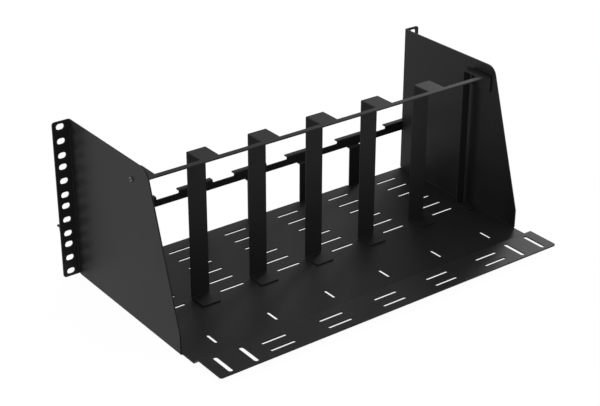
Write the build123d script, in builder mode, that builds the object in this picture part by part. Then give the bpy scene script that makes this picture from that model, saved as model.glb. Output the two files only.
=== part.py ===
from build123d import *
import os

# Rack mount shelf with upright bays, four rack units high.
# X runs across the rack, Y out of the front of the rack and Z up. X = 0 is the middle of the
# width, Y = 0 the back of the ears, which lies on the rack's rails, and Z = 0 the middle of the
# ears' height, so the frame's origin is the centre of the ears' hole pattern.
# Every length is in millimetres. A depth is a distance behind the rails' face, towards -Y.

# Sheet steel
sheet = 1.5
bend = 0.5  # radius inside a fold

# Front of the rack
units = 4
unit_height = 44.45
panel_allowance = 0.8  # a panel is this much lower than its units
panel_width = 482.6
ear_width = 18.7  # past the side plate
ear_corner = 3.0
ear_hole_edge = 8.75  # from the ear's edge to the holes' middle
ear_hole_first = 6.35  # from the bottom of a unit to its lowest hole
ear_hole_step = 15.875
ear_hole_length = 9.2
ear_hole_height = 6.7

# Side plates
floor_lip = 1.25  # the floor and the plates stop this far behind the rails' face
plate_depth = 197.0
plate_lean = 48.1  # the plate's top is this much shorter than its foot
plate_knee = 22.2  # the rear edge starts to lean this high above the underside
plate_corner = 13.0

# Floor behind the plates, joggle and tie strip
floor_tail = 19.8
joggle_run = 7.5
joggle_rise = 6.9
strip_length = 38.6
strip_inset = 2.5  # tail and strip are this much narrower than the shelf on each side
strip_corner = 3.0

# Bays
bays = 6
bay_margin = 2.2  # from a side plate to the middle line of the half strap beside it

# Slots for ties
slot_width = 3.5
floor_slot_length = 30.3
floor_slot_rows = 6
floor_slot_pitch = 20.0
floor_slot_first = 19.3  # depth of the first row
bay_slot_length = 17.6
bay_slot_inset = 25.6  # from the floor's rear edge to the slot's middle
strip_slot_length = 29.9
strip_slot_rows = 2
strip_slot_pitch = 15.0
strap_slot_width = 5.2
strap_slot_edge = 15.2  # from the strip's side to the outer slot
strap_slot_gap = 29.7  # between the outer and the inner slot
strap_slot_rear = 3.7  # from the slot's end to the strip's rear edge
strap_slot_front = 4.8  # from the slot's end to the joggle

# Comb across the front
rows_under_comb = 4  # rows of ear holes below the comb's tabs
comb_clearance = 0.6  # from the holes to the tabs
comb_tab_height = 5.4
comb_tab_width = 44.0
comb_tab_rise = 4.0  # the tabs stand this much above the bar
comb_tab_fillet = 1.2
comb_bar_height = 7.6
comb_flange = 6.25
leg_width = 16.3
leg_setback = 1.9  # from the floor's front edge back to the legs

# Divider frame
crossbar_drop = 11.1  # from the plates' top down to the crossbar's top
crossbar_width = 6.0
crossbar_inset = 2.9  # from the plates' top corner forward to the crossbar
tab_length = 25.6
foot_length = 22.6
strap_width = 21.3
wall_relief = 3.0  # between a half strap and the side plate
lug_height = 19.5
lug_front = 7.7  # the lug reaches this far before the straps
lug_back = 0.5  # and this far behind the crossbar
lug_corner = 3.0

# Side screws
screw_drop = 8.9  # below the crossbar's top
screw_setback = 6.3  # behind the straps' front face
screw_radius = 1.5
screw_clearance = 0.2
screw_tip = 0.5  # past the lug's inner face
head_radius = 2.75
head_height = 1.7
head_chamfer = 0.8

# Worked out from the values above
fold = bend + sheet  # radius outside a fold
panel_height = units * unit_height - panel_allowance
tray_width = panel_width - 2 * ear_width
ear_hole_spacing = panel_width - 2 * ear_hole_edge
top = panel_height / 2
ear_bottom = -panel_height / 2
underside = ear_bottom - fold  # the floor's fold lies just below the ears
floor_top = underside + sheet
wall = tray_width / 2 - sheet  # inner face of a side plate
hole_heights = [
    ear_bottom - panel_allowance / 2 + unit * unit_height + ear_hole_first + step * ear_hole_step
    for unit in range(units)
    for step in range(3)
]

plate_top_depth = plate_depth - plate_lean
floor_depth = plate_depth + floor_tail
strip_start = floor_depth + joggle_run
strip_depth = strip_start + strip_length
strip_bottom = underside + joggle_rise
tail_edge = tray_width / 2 - strip_inset
strap_slot_length = strip_length - strap_slot_front - strap_slot_rear
strap_slot_outer = tail_edge - strap_slot_edge
strap_slot_inner = strap_slot_outer - strap_slot_gap
strip_slots_middle = strip_start + strap_slot_front + strap_slot_length / 2

bay_pitch = 2 * (wall - bay_margin) / bays
tab_places = [(k - bays / 2) * bay_pitch for k in range(bays + 1)]
divider_places = tab_places[1:-1]
half_strap = bays / 2 * bay_pitch - strap_width / 2  # inner edge of the strap at the wall
divider_depth = plate_top_depth - crossbar_inset - crossbar_width - tab_length
crossbar_depth = divider_depth + tab_length
foot_depth = divider_depth + foot_length
frame_top = top - crossbar_drop
screw_depth = divider_depth + screw_setback
screw_height = frame_top - screw_drop

leg_depth = floor_lip + leg_setback
comb_tab_bottom = hole_heights[rows_under_comb - 1] + ear_hole_height / 2 + comb_clearance
comb_top = comb_tab_bottom + comb_tab_height
comb_bar_top = comb_top - comb_tab_rise
comb_bar_bottom = comb_bar_top - comb_bar_height
comb_face = 2 * sheet  # front of the bar, which lies on the ears' front


def bent_sheet(planes, points, radii):
    """Section of a bent sheet: one face runs through the points and the sheet lies to its left."""
    with BuildSketch(*planes) as section:
        with BuildLine():
            FilletPolyline(*points, radius=radii)
            offset(amount=sheet, side=Side.LEFT)
        make_face()
    return section.sketch


def tie_slot(length):
    """Narrow slot for a cable tie: each end is half an octagon, close to round and light in faces."""
    with BuildSketch() as slot:
        Rectangle(length, slot_width)
        chamfer(slot.vertices(), slot_width / (2 + 2**0.5))
    return slot.sketch


# Right ear: folded outwards from the side plate, down to where the floor's fold begins
with BuildPart() as ear:
    ear_path = [(panel_width / 2, sheet), (wall, sheet), (wall, -floor_lip)]
    extrude(bent_sheet([Plane.XY.offset(ear_bottom)], ear_path, fold), amount=panel_height)
    fillet(ear.edges().filter_by(Axis.Y).group_by(Axis.X)[-1], ear_corner)
    with BuildSketch(Plane.XZ.offset(-sheet)):
        with Locations([(ear_hole_spacing / 2, height) for height in hole_heights]):
            SlotOverall(ear_hole_length, ear_hole_height)
    extrude(amount=sheet, mode=Mode.SUBTRACT)

# Tray: floor, side plates, ears, tie strip and comb, all folded from one sheet
with BuildPart() as tray:
    # floor and side plates as one channel, trimmed to the plates' outline
    half = tray_width / 2
    channel_path = [(-half, top), (-half, underside), (half, underside), (half, top)]
    extrude(bent_sheet([Plane.XZ.offset(floor_lip)], channel_path, fold), amount=plate_depth - floor_lip)
    with BuildSketch(Plane.YZ) as plate_outline:
        with BuildLine():
            Polyline(
                (-floor_lip, underside),
                (-floor_lip, top),
                (-plate_top_depth, top),
                (-plate_depth, underside + plate_knee),
                (-plate_depth, underside),
                close=True,
            )
        make_face()
        fillet(plate_outline.vertices().sort_by_distance((-plate_top_depth, top))[0], plate_corner)
    extrude(amount=tray_width, both=True, mode=Mode.INTERSECT)

    # floor behind the plates, joggled up to the tie strip
    tail_path = [
        (-strip_depth, strip_bottom),
        (-strip_start, strip_bottom),
        (-floor_depth, underside),
        (-plate_depth, underside),
    ]
    extrude(bent_sheet([Plane.YZ], tail_path, [bend, fold]), amount=tail_edge, both=True)
    fillet(tray.edges().filter_by(Axis.Z).group_by(Axis.Y)[0], strip_corner)

    add(ear.part)
    mirror(ear.part, about=Plane.YZ)

    # slots for ties through the floor and the strip
    with BuildSketch(Plane.XY.offset(underside)):
        floor_slots_middle = floor_slot_first + (floor_slot_rows - 1) * floor_slot_pitch / 2
        with Locations((0, -floor_slots_middle)):
            with GridLocations(bay_pitch, floor_slot_pitch, bays, floor_slot_rows):
                add(tie_slot(floor_slot_length))
        with Locations((0, bay_slot_inset - floor_depth)):
            with GridLocations(bay_pitch, 0, bays, 1):
                add(tie_slot(bay_slot_length), rotation=90)
        with Locations((0, -strip_slots_middle)):
            pair_pitch = 2 * strap_slot_inner / (bays - 1)
            with GridLocations(pair_pitch, strip_slot_pitch, bays - 1, strip_slot_rows):
                add(tie_slot(strip_slot_length))
        strap_slot_places = (-strap_slot_outer, -strap_slot_inner, strap_slot_inner, strap_slot_outer)
        with Locations([(x, -strip_slots_middle) for x in strap_slot_places]):
            SlotOverall(strap_slot_length, strap_slot_width, rotation=90)
    extrude(amount=joggle_rise + sheet, mode=Mode.SUBTRACT)

    # holes for the side screws
    with BuildSketch(Plane.YZ):
        with Locations((-screw_depth, screw_height)):
            Circle(screw_radius + screw_clearance)
    extrude(amount=tray_width, both=True, mode=Mode.SUBTRACT)

    # legs of the comb: up from the floor's front edge, then forward over the ears' plane
    ledge_bottom = comb_bar_bottom - bend
    with BuildSketch(Plane.XY.offset(underside)):
        with Locations([(x, -floor_lip) for x in divider_places]):
            Rectangle(leg_width, leg_setback + fold, align=(Align.CENTER, Align.MAX))
    extrude(amount=sheet, mode=Mode.SUBTRACT)
    leg_path = [
        (-leg_depth - 2 * fold, underside),
        (-leg_depth, underside),
        (-leg_depth, ledge_bottom),
        (comb_face, ledge_bottom),
        (comb_face, comb_bar_top),
    ]
    leg_planes = [Plane.YZ.offset(x - leg_width / 2) for x in divider_places]
    extrude(bent_sheet(leg_planes, leg_path, [fold, bend, fold]), amount=leg_width)

    # bar of the comb, with a raised tab over each divider and at each ear
    with BuildSketch(Plane.XZ.offset(-comb_face)) as comb_bar:
        with Locations((0, comb_bar_bottom)):
            Rectangle(tray_width, comb_bar_height, align=(Align.CENTER, Align.MIN))
        with Locations([(x, comb_tab_bottom) for x in tab_places]):
            Rectangle(comb_tab_width, comb_tab_height - fold, align=(Align.CENTER, Align.MIN))
        fillet(comb_bar.vertices().group_by(Axis.Y)[-2], comb_tab_fillet)
    extrude(amount=sheet)
    flange_path = [
        (comb_face, comb_tab_bottom),
        (comb_face, comb_top - sheet),
        (sheet + comb_flange, comb_top - sheet),
    ]
    flange_planes = [Plane.YZ.offset(x - comb_tab_width / 2) for x in tab_places]
    extrude(bent_sheet(flange_planes, flange_path, bend), amount=comb_tab_width)

# Right end of the divider frame: half a tab, strap and foot at the wall, and the lug folded down
with BuildPart() as divider_end:
    crossbar_back = crossbar_depth + crossbar_width
    strap_path = [
        (-foot_depth, floor_top),
        (-divider_depth, floor_top),
        (-divider_depth, frame_top),
        (-crossbar_back, frame_top),
    ]
    half_strap_width = wall - wall_relief - half_strap
    extrude(bent_sheet([Plane.YZ.offset(half_strap)], strap_path, fold), amount=half_strap_width)
    lug_path = [(wall, frame_top - lug_height), (wall, frame_top), (half_strap, frame_top)]
    lug_bend = bent_sheet([Plane.XZ.offset(divider_depth + fold)], lug_path, fold)
    extrude(lug_bend, amount=crossbar_back - divider_depth - fold)
    with BuildSketch(Plane.YZ.offset(wall - sheet)) as lug:
        with Locations((-crossbar_back - lug_back, frame_top - lug_height)):
            lug_length = lug_back + crossbar_back - divider_depth + lug_front
            Rectangle(lug_length, lug_height - fold, align=Align.MIN)
        fillet(lug.vertices().group_by(Axis.Y)[0], lug_corner)
    extrude(amount=sheet)
    with BuildSketch(Plane.YZ.offset(wall - sheet)):
        with Locations((-screw_depth, screw_height)):
            Circle(screw_radius)
    extrude(amount=sheet, mode=Mode.SUBTRACT)

# Divider frame: crossbar with a tab, strap and foot at each divider, folded from one sheet
with BuildPart() as divider_frame:
    with BuildSketch(Plane.XY.offset(frame_top - sheet)):
        with Locations((0, -crossbar_depth)):
            Rectangle(2 * half_strap, crossbar_width, align=(Align.CENTER, Align.MAX))
    extrude(amount=sheet)
    strap_planes = [Plane.YZ.offset(x - strap_width / 2) for x in divider_places]
    extrude(bent_sheet(strap_planes, strap_path, fold), amount=strap_width)
    add(divider_end.part)
    mirror(divider_end.part, about=Plane.YZ)


def side_screw(side):
    """Pan head screw through a side plate into the divider frame's lug; side is -1 left, 1 right."""
    seat = Plane(
        origin=(side * tray_width / 2, -screw_depth, screw_height),
        x_dir=(0, 1, 0),
        z_dir=(side, 0, 0),
    )
    with BuildPart() as screw:
        with BuildSketch(seat):
            Circle(head_radius)
        extrude(amount=head_height)
        crown = screw.faces().sort_by(Axis.X)[0 if side < 0 else -1]
        chamfer(crown.edges(), head_chamfer)
        with BuildSketch(seat):
            Circle(screw_radius)
        extrude(amount=-(2 * sheet + screw_tip))
    return screw.part


screw_left = side_screw(-1)
screw_right = side_screw(1)

tray.part.label = "tray"
divider_frame.part.label = "divider_frame"
screw_left.label = "screw_left"
screw_right.label = "screw_right"

os.makedirs("parts", exist_ok=True)
export_step(tray.part, "parts/tray.step")
export_step(divider_frame.part, "parts/divider_frame.step")
export_step(screw_left, "parts/screw_left.step")
export_step(screw_right, "parts/screw_right.step")
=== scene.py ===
# %% [markdown]
# # A rack mount shelf in powder coated steel
# The shelf is two folded steel sheets and two screws. The big sheet is the tray: a slotted floor, two
# side plates with ears, a comb across the front and a tie strip behind. The small one is the divider
# frame: a crossbar with straps that part the tray into six upright bays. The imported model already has
# their true shape, so this lesson is about finish: soft cut edges, powder coat, screws, light and camera.

# %% Load the frame
import bpy
import math
from mathutils import Matrix, Vector


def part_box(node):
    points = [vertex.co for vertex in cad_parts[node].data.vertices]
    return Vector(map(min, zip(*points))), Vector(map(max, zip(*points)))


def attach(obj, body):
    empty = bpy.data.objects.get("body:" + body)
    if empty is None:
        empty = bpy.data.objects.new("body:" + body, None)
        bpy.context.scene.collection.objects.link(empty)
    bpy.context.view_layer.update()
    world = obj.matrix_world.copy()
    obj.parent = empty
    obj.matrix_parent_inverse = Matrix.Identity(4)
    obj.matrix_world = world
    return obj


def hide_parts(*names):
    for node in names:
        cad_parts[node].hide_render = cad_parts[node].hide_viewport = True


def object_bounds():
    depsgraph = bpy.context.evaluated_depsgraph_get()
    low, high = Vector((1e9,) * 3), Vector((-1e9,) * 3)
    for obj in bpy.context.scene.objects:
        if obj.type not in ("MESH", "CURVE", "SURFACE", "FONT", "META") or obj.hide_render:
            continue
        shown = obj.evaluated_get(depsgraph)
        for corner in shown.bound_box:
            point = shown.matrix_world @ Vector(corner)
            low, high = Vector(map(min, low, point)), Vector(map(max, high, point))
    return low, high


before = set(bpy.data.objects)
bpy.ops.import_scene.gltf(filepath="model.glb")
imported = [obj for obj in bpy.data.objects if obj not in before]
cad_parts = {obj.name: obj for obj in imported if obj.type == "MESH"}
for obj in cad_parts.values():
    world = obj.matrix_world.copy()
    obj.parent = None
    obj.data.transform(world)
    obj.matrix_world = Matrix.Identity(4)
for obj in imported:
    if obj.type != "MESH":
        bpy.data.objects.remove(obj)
cad_low, cad_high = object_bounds()
bpy.ops.object.select_all(action="DESELECT")
print("nodes:", sorted(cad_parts))
print("model spans", [round((b - a) * 1000, 1) for a, b in zip(cad_low, cad_high)], "mm")

# %% [markdown]
# ## Camera
# The photograph looks at the shelf from behind, above its left rear corner. The camera's place, its three
# angles and its focal length were solved together, from the ear holes, whose spacing the 19 inch rack
# standard gives, and from the floor's slots and straight edges. In an image 600 pixels wide the focal
# length comes out at 1455 pixels.

# %% Camera
IMAGE_WIDTH = 600
SENSOR_WIDTH = 36.0
FOCAL_PIXELS = 1455.28
CAMERA_AZIMUTH = math.radians(36.843)
CAMERA_ELEVATION = math.radians(26.719)
CAMERA_ROLL = math.radians(0.186)
CAMERA_PLACE = Vector((-0.8413, -1.2138, 0.6707))

bpy.ops.object.camera_add()
camera = bpy.context.object
camera.name = "photo_camera"
camera.data.sensor_width = SENSOR_WIDTH
camera.data.lens = FOCAL_PIXELS * SENSOR_WIDTH / IMAGE_WIDTH
camera.matrix_world = (
    Matrix.Translation(CAMERA_PLACE)
    @ Matrix.Rotation(-CAMERA_AZIMUTH, 4, "Z")
    @ Matrix.Rotation(math.pi / 2 - CAMERA_ELEVATION, 4, "X")
    @ Matrix.Rotation(CAMERA_ROLL, 4, "Z")
)
camera.data.clip_start = 0.05
camera.data.clip_end = 30
bpy.context.scene.camera = camera
print("lens", round(camera.data.lens, 1), "mm")

# %% [markdown]
# ## Two small helpers
# Colours are written as they look on a screen, in hex, and a shader wants them linear, so one function
# turns them, and makes them lighter or darker. Another adds a node, fills its sockets and links it, which
# keeps each material short. A socket is given by its name, or by its number where names repeat.

# %% Helpers for materials
def linear(hex_colour, times=1.0):
    """sRGB hex, such as #2b2b2c, to the linear colour that a shader takes, times a number."""
    parts = [int(hex_colour[i:i + 2], 16) / 255 for i in (1, 3, 5)]
    parts = [c / 12.92 if c <= 0.04045 else ((c + 0.055) / 1.055) ** 2.4 for c in parts]
    return tuple(c * times for c in parts) + (1.0,)


def node(tree, kind, settings=None, **inputs):
    """Adds a node, with its settings, and its sockets set to values or linked to other sockets."""
    made = tree.nodes.new(kind)
    for name, value in (settings or {}).items():
        setattr(made, name, value)
    for name, value in inputs.items():
        socket = made.inputs[int(name[1:]) if name[1:].isdigit() else name.replace("_", " ")]
        if isinstance(value, bpy.types.NodeSocket):
            tree.links.new(value, socket)
        else:
            socket.default_value = value
    return made


def new_material(name):
    """An empty node material and its tree."""
    made = bpy.data.materials.new(name)
    made.use_nodes = True
    made.node_tree.nodes.clear()
    return made, made.node_tree

# %% [markdown]
# ## Floor, backdrop and light
# The photograph is a studio picture on pure white, so the slots and holes show white too. The floor
# is white to the camera, and to reflections and refractions, through Light Path. A small share of that
# white is real paint, which keeps a faint shadow. The world is a plain pale studio, the same for every
# ray. It gives most of the light, and the black coat mirrors it softly.

# %% Floor and world
FLOOR_SPAN = 12.0
SHADOW_SHARE = 0.06  # how much of the floor's white is paint that takes the shadow
WHITE = 1.03  # the glow's strength, a touch over 1, because the paint's share of the white is dimmer
PAINT = (0.8, 0.8, 0.8, 1)
SURROUND = 0.70

bpy.ops.mesh.primitive_plane_add(size=FLOOR_SPAN, location=(0, 0, cad_low.z))
floor = bpy.context.object
floor.name = "studio_floor"

floor_white, tree = new_material("white_studio_floor")
path = node(tree, "ShaderNodeLightPath")
mirrored = node(tree, "ShaderNodeMath", {"operation": "MAXIMUM"},
                _0=path.outputs["Is Camera Ray"], _1=path.outputs["Is Glossy Ray"])
seen = node(tree, "ShaderNodeMath", {"operation": "MAXIMUM"},
            _0=mirrored.outputs[0], _1=path.outputs["Is Transmission Ray"])
glow = node(tree, "ShaderNodeEmission", Color=(1, 1, 1, 1), Strength=WHITE)
paint = node(tree, "ShaderNodeBsdfDiffuse", Color=PAINT)
share = node(tree, "ShaderNodeMath", {"operation": "MULTIPLY"},
             _0=seen.outputs[0], _1=1 - SHADOW_SHARE)
mix = node(tree, "ShaderNodeMixShader", _0=share.outputs[0], _1=paint.outputs[0], _2=glow.outputs[0])
node(tree, "ShaderNodeOutputMaterial", Surface=mix.outputs[0])
floor.data.materials.append(floor_white)

world = bpy.data.worlds.new("pale_studio")
bpy.context.scene.world = world
world.use_nodes = True
tree = world.node_tree
tree.nodes.clear()
sky = node(tree, "ShaderNodeBackground", Color=(1, 1, 1, 1), Strength=SURROUND)
node(tree, "ShaderNodeOutputWorld", Surface=sky.outputs[0])
bpy.context.scene.view_settings.view_transform = "Standard"
print("surround", SURROUND, "and shadow share", SHADOW_SHARE)

# %% [markdown]
# Two small softboxes join the pale surround. One stands low at the front left, so that its light comes
# through the ear's holes and lies in soft spots on the side plate. The other stands at the front right
# and casts the straps' soft shadows over the floor, towards the left. Their places and watts were fitted:
# of the variants that were rendered, these came closest to the photograph.

# %% Two softboxes
LAMP_AIM = Vector((0, -0.12, -0.03))
LAMP_DISTANCE = 1.5
LAMPS = {  # degrees round from the shelf's rear to its right, degrees up, width, height, watts
    "front_right_softbox": (120, 29, 0.26, 0.50, 4.8),
    "front_left_softbox": (217, 5, 0.28, 0.28, 2.8),
}
for name, (round_from_rear, up, width, height, power) in LAMPS.items():
    turn, lift = math.radians(round_from_rear), math.radians(up)
    way = Vector((math.sin(turn) * math.cos(lift), -math.cos(turn) * math.cos(lift), math.sin(lift)))
    bpy.ops.object.light_add(type="AREA", location=LAMP_AIM + LAMP_DISTANCE * way)
    lamp = bpy.context.object
    lamp.name = name
    lamp.data.shape = "RECTANGLE"
    lamp.data.size, lamp.data.size_y = width, height
    lamp.data.energy = power
    lamp.rotation_euler = (-way).to_track_quat("-Z", "Y").to_euler()
print(len(LAMPS), "softboxes")

# %% [markdown]
# ## Powder coat
# Both sheets wear a jet black powder coat: a thin plastic skin, sprayed on as powder and baked on the
# steel. It is nearly black in itself, and what the eye sees is a soft, wide sheen of the white studio,
# which is strongest at a flat angle. The shader is a plain dielectric of middling roughness. Its specular
# level is well under the usual 0.5, and that was fitted, not measured: this floor is whiter in reflections
# than the photograph's surround seems to be, and already at 0.35 the left side plate came out too light.
# The orange peel is a fine bump, and the skin rounds every cut edge a little, which a Bevel node shows.

# %% Powder coat material
MM = 0.001
PEEL_SIZE = 0.9 * MM  # a fine powder coat's peel is typically about 0.5 mm; drawn coarser so it shows
PEEL_DEPTH = 0.05 * MM
DRIFT_SIZE = 60 * MM  # slow changes of shade from the spraying
DRIFT_DARKEST, DRIFT_LIGHTEST = 0.90, 1.12
COAT_SMOOTHEST, COAT_ROUGHEST = 0.45, 0.51
COAT_LEVEL = 0.15
EDGE_RADIUS = 0.3 * MM


def powder_coat(name, colour):
    """Fine black powder coat on steel sheet."""
    material, tree = new_material(name)
    where = node(tree, "ShaderNodeTexCoord")
    peel = node(tree, "ShaderNodeTexNoise", Vector=where.outputs["Object"],
                Scale=1 / PEEL_SIZE, Detail=2.0)
    drift = node(tree, "ShaderNodeTexNoise", Vector=where.outputs["Object"],
                 Scale=1 / DRIFT_SIZE, Detail=3.0)
    tint = node(tree, "ShaderNodeMix", {"data_type": "RGBA"}, _0=drift.outputs["Fac"],
                _6=linear(colour, DRIFT_DARKEST), _7=linear(colour, DRIFT_LIGHTEST))
    rough = node(tree, "ShaderNodeMapRange", _0=peel.outputs["Fac"],
                 _3=COAT_SMOOTHEST, _4=COAT_ROUGHEST)
    edge = node(tree, "ShaderNodeBevel", {"samples": 4}, Radius=EDGE_RADIUS)
    bump = node(tree, "ShaderNodeBump", Strength=0.12, Distance=PEEL_DEPTH,
                Height=peel.outputs["Fac"], Normal=edge.outputs[0])
    coat = node(tree, "ShaderNodeBsdfPrincipled", Base_Color=tint.outputs[2],
                Roughness=rough.outputs[0], Normal=bump.outputs[0],
                IOR=1.5, Specular_IOR_Level=COAT_LEVEL)
    node(tree, "ShaderNodeOutputMaterial", Surface=coat.outputs[0])
    return material


jet_black_coat = powder_coat("jet_black_powder_coat", "#1f1f1f")
for name in ("tray", "divider_frame"):
    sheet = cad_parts[name]
    sheet.data.materials.clear()
    sheet.data.materials.append(jet_black_coat)
    print("powder coat on", name)

# %% [markdown]
# ## Side screws
# A small pan head screw goes through each side plate into the divider frame's lug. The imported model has
# a plain head there, so this one takes its place at the same size: a round dome, a small cross recess
# for the driver and a shank with a chamfered tip. In the photograph the head is a few pixels: a bright
# spot with a dark edge below it. A full dome came nearer to that than a flatter one, without matching it,
# and the recess is a guess. The screw is modelled upright, once, then copied and laid over to each side.
# The dome is a bevel of many steps, and a Boolean modifier cuts the recess.

# %% Choose faces by a test
def choose(piece, test):
    """Opens edit mode with just those faces selected that pass the test."""
    bpy.ops.object.mode_set(mode="EDIT")
    bpy.ops.mesh.select_mode(type="FACE")
    bpy.ops.mesh.select_all(action="DESELECT")
    bpy.ops.object.mode_set(mode="OBJECT")
    for face in piece.data.polygons:
        if test(face):
            face.select = True
    bpy.ops.object.mode_set(mode="EDIT")


# %% Screw: head, dome and shank
screw_low, screw_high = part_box("screw_right")
HEAD_RADIUS = (screw_high.z - screw_low.z) / 2
HEAD_HEIGHT = 1.7 * MM
SHANK_RADIUS = 1.5 * MM
DOME = 1.55 * MM
TIP = 0.4 * MM
TIP_TAPER = 0.7
FACING = 0.9  # over this part of its normal along a direction, a face counts as facing that way
shank_length = screw_high.x - screw_low.x - HEAD_HEIGHT

bpy.ops.object.select_all(action="DESELECT")
bpy.ops.mesh.primitive_cylinder_add(vertices=40, radius=HEAD_RADIUS, depth=HEAD_HEIGHT,
                                    location=(0, 0, HEAD_HEIGHT / 2))
screw = bpy.context.object
screw.name = "pan_head_screw_right"
bpy.ops.object.transform_apply(location=True, rotation=True, scale=True)
choose(screw, lambda face: face.normal.z > FACING)
bpy.ops.mesh.bevel(offset=DOME, segments=9, profile=0.5, affect="EDGES")
choose(screw, lambda face: face.normal.z < -FACING)
bpy.ops.mesh.inset(thickness=HEAD_RADIUS - SHANK_RADIUS)
bpy.ops.mesh.extrude_region_move(TRANSFORM_OT_translate={"value": (0, 0, TIP - shank_length)})
bpy.ops.mesh.extrude_region_move(TRANSFORM_OT_translate={"value": (0, 0, -TIP)})
bpy.ops.transform.resize(value=(TIP_TAPER, TIP_TAPER, 1))
bpy.ops.object.mode_set(mode="OBJECT")
print("screw", [round(v / MM, 2) for v in screw.dimensions], "mm")

# %% Cross recess
RECESS_WIDTH = 0.45 * MM
RECESS_SPAN = 1.7 * MM
RECESS_DEPTH = 0.8 * MM
DOUBLED = 0.002 * MM  # corners nearer than this lie on each other

bpy.ops.object.select_all(action="DESELECT")
bpy.ops.mesh.primitive_cube_add(size=1, location=(0, 0, HEAD_HEIGHT),
                                scale=(RECESS_WIDTH, RECESS_WIDTH, 2 * RECESS_DEPTH))
cross = bpy.context.object
bpy.ops.object.transform_apply(location=True, rotation=True, scale=True)
arm = (RECESS_SPAN - RECESS_WIDTH) / 2
for way in (Vector((1, 0, 0)), Vector((-1, 0, 0)), Vector((0, 1, 0)), Vector((0, -1, 0))):
    side_face = RECESS_WIDTH / 2  # how far out the core's own face lies
    choose(cross, lambda face: face.normal.dot(way) > FACING
           and abs(face.center.dot(way) - side_face) < RECESS_WIDTH / 4)
    bpy.ops.mesh.extrude_region_move(TRANSFORM_OT_translate={"value": tuple(way * arm)})
    bpy.ops.object.mode_set(mode="OBJECT")

bpy.ops.object.select_all(action="DESELECT")
screw.select_set(True)
bpy.context.view_layer.objects.active = screw
cut = screw.modifiers.new("recess", "BOOLEAN")
cut.object = cross
cut.operation = "DIFFERENCE"
cut.solver = "EXACT"
bpy.ops.object.modifier_apply(modifier="recess")
bpy.data.objects.remove(cross)
bpy.ops.object.mode_set(mode="EDIT")
bpy.ops.mesh.select_all(action="SELECT")
bpy.ops.mesh.remove_doubles(threshold=DOUBLED)
bpy.ops.object.mode_set(mode="OBJECT")
bpy.ops.object.shade_smooth_by_angle(angle=math.radians(30))
print("screw has", len(screw.data.polygons), "faces")

# %% [markdown]
# The photograph shows too little of a screw to tell its finish. Black oxide on steel is the common one:
# the film is thin, so the steel's gloss comes through it as a small bright spot on the dome, sharper than
# the powder coat's.

# %% Black oxide material
FILM_GRAIN = 0.4 * MM
FILM_LIGHTEST = 1.5
FILM_SMOOTHEST, FILM_ROUGHEST = 0.16, 0.26


def black_oxide(name, colour):
    """Black oxide film on a steel screw."""
    material, tree = new_material(name)
    where = node(tree, "ShaderNodeTexCoord")
    film = node(tree, "ShaderNodeTexNoise", Vector=where.outputs["Object"],
                Scale=1 / FILM_GRAIN, Detail=3.0)
    rough = node(tree, "ShaderNodeMapRange", _0=film.outputs["Fac"],
                 _3=FILM_SMOOTHEST, _4=FILM_ROUGHEST)
    tint = node(tree, "ShaderNodeMix", {"data_type": "RGBA"}, _0=film.outputs["Fac"],
                _6=linear(colour), _7=linear(colour, FILM_LIGHTEST))
    steel = node(tree, "ShaderNodeBsdfPrincipled", Base_Color=tint.outputs[2],
                 Metallic=1.0, Roughness=rough.outputs[0])
    node(tree, "ShaderNodeOutputMaterial", Surface=steel.outputs[0])
    return material


screw.data.materials.append(black_oxide("black_oxide_steel", "#4e4e50"))

# %% Lay a screw into each side plate
twin = screw.copy()
twin.data = screw.data.copy()
twin.name = "pan_head_screw_left"
bpy.context.collection.objects.link(twin)
for piece, target, side in ((screw, "screw_right", 1), (twin, "screw_left", -1)):
    low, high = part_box(target)
    seat = high.x - HEAD_HEIGHT if side > 0 else low.x + HEAD_HEIGHT  # the plate's outer face
    place = (seat, (low.y + high.y) / 2, (low.z + high.z) / 2)
    piece.rotation_euler = (0, side * math.pi / 2, 0)
    piece.location = place
    bpy.ops.object.select_all(action="DESELECT")
    piece.select_set(True)
    bpy.context.view_layer.objects.active = piece
    bpy.ops.object.transform_apply(location=True, rotation=True, scale=True)
    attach(piece, "root")
    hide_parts(target)
    print(piece.name, "at", [round(v / MM, 1) for v in place], "mm")
